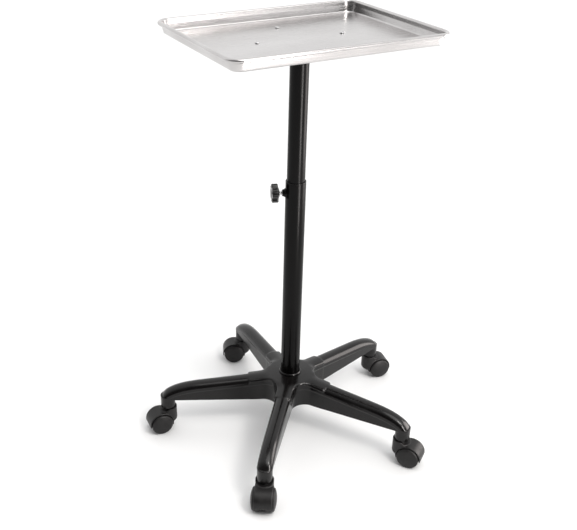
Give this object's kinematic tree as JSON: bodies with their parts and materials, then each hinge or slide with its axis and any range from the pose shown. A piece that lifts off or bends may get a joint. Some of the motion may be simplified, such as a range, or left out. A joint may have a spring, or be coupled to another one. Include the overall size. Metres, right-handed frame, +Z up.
{
  "type": "instrument cart",
  "caption": "Rectangular aluminium instrument tray with a rolled rim on a telescopic mast with a side clamping knob, over a black star base that rolls on hooded twin-wheel casters.",
  "frame": {"origin": "on the floor, at the centre of the cart's footprint box; the mast's axis stands at x -6.4 mm, y -16 mm", "axes": "+Z up along the mast; X along the tray's long side, Y along its short side"},
  "size_m": [0.6486, 0.6203, 0.9265],
  "materials": {
    "tray_aluminium": "satin, lightly brushed",
    "zinc_steel": "bright zinc",
    "black_paint": "semi-gloss powder coat",
    "black_nylon": "moulded, semi-gloss",
    "caster_nylon": "moulded, satin",
    "natural_nylon": "plain"
  },
  "bodies": {
    "base": {"star_base": "black_nylon", "mast_collar": "black_nylon", "foot_plug": "zinc_steel", "mast_washer": "zinc_steel", "mast_bolt": "zinc_steel", "lower_tube": "black_paint", "guide_bush": "black_nylon", "clamp_boss": "black_paint", "caster_front_stem": "zinc_steel", "caster_right_stem": "zinc_steel", "caster_back_right_stem": "zinc_steel", "caster_back_left_stem": "zinc_steel", "caster_left_stem": "zinc_steel", "caster_front_grip_ring": "zinc_steel", "caster_right_grip_ring": "zinc_steel", "caster_back_right_grip_ring": "zinc_steel", "caster_back_left_grip_ring": "zinc_steel", "caster_left_grip_ring": "zinc_steel"},
    "mast_glide": {"glide_ring": "natural_nylon"},
    "tray_head": {"upper_tube": "black_paint", "glide_plug": "natural_nylon", "tray_bracket": "black_paint", "bracket_set_screw": "zinc_steel", "tray_pan": "tray_aluminium", "tray_rim_wire": "zinc_steel", "tray_screw_right": "zinc_steel", "tray_screw_back": "zinc_steel", "tray_screw_left": "zinc_steel", "tray_screw_front": "zinc_steel", "tray_nut_right": "zinc_steel", "tray_nut_back": "zinc_steel", "tray_nut_left": "zinc_steel", "tray_nut_front": "zinc_steel"},
    "clamp_shoe": {"clamp_pad": "natural_nylon"},
    "knob": {"clamp_knob": "black_nylon", "clamp_bolt": "zinc_steel"},
    "caster_front": {"caster_front_hood": "caster_nylon", "caster_front_axle": "zinc_steel"},
    "wheel_front_left": {"caster_front_wheel_left": "caster_nylon"},
    "wheel_front_right": {"caster_front_wheel_right": "caster_nylon"},
    "caster_right": {"caster_right_hood": "caster_nylon", "caster_right_axle": "zinc_steel"},
    "wheel_right_left": {"caster_right_wheel_left": "caster_nylon"},
    "wheel_right_right": {"caster_right_wheel_right": "caster_nylon"},
    "caster_back_right": {"caster_back_right_hood": "caster_nylon", "caster_back_right_axle": "zinc_steel"},
    "wheel_back_right_left": {"caster_back_right_wheel_left": "caster_nylon"},
    "wheel_back_right_right": {"caster_back_right_wheel_right": "caster_nylon"},
    "caster_back_left": {"caster_back_left_hood": "caster_nylon", "caster_back_left_axle": "zinc_steel"},
    "wheel_back_left_left": {"caster_back_left_wheel_left": "caster_nylon"},
    "wheel_back_left_right": {"caster_back_left_wheel_right": "caster_nylon"},
    "caster_left": {"caster_left_hood": "caster_nylon", "caster_left_axle": "zinc_steel"},
    "wheel_left_left": {"caster_left_wheel_left": "caster_nylon"},
    "wheel_left_right": {"caster_left_wheel_right": "caster_nylon"}
  },
  "joints": [
    {"name": "height_slide", "type": "slide", "parent": "base", "child": "mast_glide", "axis": [0, 0, 1], "range_m": [-0.2, 0.18]},
    {"name": "tray_swivel", "type": "hinge", "parent": "mast_glide", "child": "tray_head", "pos_m": [-0.0064, -0.016, 0.9], "axis": [0, 0, 1], "continuous": true},
    {"name": "clamp_travel", "type": "slide", "parent": "base", "child": "clamp_shoe", "axis": [-0.9397, 0.342, 0], "range_m": [0, 0.0025]},
    {"name": "clamp_turn", "type": "hinge", "parent": "clamp_shoe", "child": "knob", "pos_m": [-0.04587, -0.00163, 0.5895], "axis": [-0.9397, 0.342, 0], "range_deg": [0, 720]},
    {"name": "swivel_front", "type": "hinge", "parent": "base", "child": "caster_front", "pos_m": [-0.18877, -0.23644, 0.058], "axis": [0, 0, 1], "continuous": true},
    {"name": "spin_front_left", "type": "hinge", "parent": "caster_front", "child": "wheel_front_left", "pos_m": [-0.20075, -0.25489, 0.025], "axis": [0.8387, -0.5446, 0], "continuous": true},
    {"name": "spin_front_right", "type": "hinge", "parent": "caster_front", "child": "wheel_front_right", "pos_m": [-0.20075, -0.25489, 0.025], "axis": [0.8387, -0.5446, 0], "continuous": true},
    {"name": "swivel_right", "type": "hinge", "parent": "base", "child": "caster_right", "pos_m": [0.1469, -0.25756, 0.058], "axis": [0, 0, 1], "continuous": true},
    {"name": "spin_right_left", "type": "hinge", "parent": "caster_right", "child": "wheel_right_left", "pos_m": [0.15999, -0.27525, 0.025], "axis": [0.8039, 0.5948, 0], "continuous": true},
    {"name": "spin_right_right", "type": "hinge", "parent": "caster_right", "child": "wheel_right_right", "pos_m": [0.15999, -0.27525, 0.025], "axis": [0.8039, 0.5948, 0], "continuous": true},
    {"name": "swivel_back_right", "type": "hinge", "parent": "base", "child": "caster_back_right", "pos_m": [0.27071, 0.05515, 0.058], "axis": [0, 0, 1], "continuous": true},
    {"name": "spin_back_right_left", "type": "hinge", "parent": "caster_back_right", "child": "wheel_back_right_left", "pos_m": [0.29231, 0.05095, 0.025], "axis": [0.1908, 0.9816, 0], "continuous": true},
    {"name": "spin_back_right_right", "type": "hinge", "parent": "caster_back_right", "child": "wheel_back_right_right", "pos_m": [0.29231, 0.05095, 0.025], "axis": [0.1908, 0.9816, 0], "continuous": true},
    {"name": "swivel_back_left", "type": "hinge", "parent": "base", "child": "caster_back_left", "pos_m": [0.01156, 0.26954, 0.058], "axis": [0, 0, 1], "continuous": true},
    {"name": "spin_back_left_left", "type": "hinge", "parent": "caster_back_left", "child": "wheel_back_left_left", "pos_m": [-0.00846, 0.27866, 0.025], "axis": [-0.4147, -0.91, 0], "continuous": true},
    {"name": "spin_back_left_right", "type": "hinge", "parent": "caster_back_left", "child": "wheel_back_left_right", "pos_m": [-0.00846, 0.27866, 0.025], "axis": [-0.4147, -0.91, 0], "continuous": true},
    {"name": "swivel_left", "type": "hinge", "parent": "base", "child": "caster_left", "pos_m": [-0.27241, 0.08932, 0.058], "axis": [0, 0, 1], "continuous": true},
    {"name": "spin_left_left", "type": "hinge", "parent": "caster_left", "child": "wheel_left_left", "pos_m": [-0.29435, 0.09086, 0.025], "axis": [-0.0698, -0.9976, 0], "continuous": true},
    {"name": "spin_left_right", "type": "hinge", "parent": "caster_left", "child": "wheel_left_right", "pos_m": [-0.29435, 0.09086, 0.025], "axis": [-0.0698, -0.9976, 0], "continuous": true}
  ],
  "couplings": [
    {"joint": "clamp_travel", "follows": "clamp_turn", "m_per_rad": 0.00019894}
  ]
}
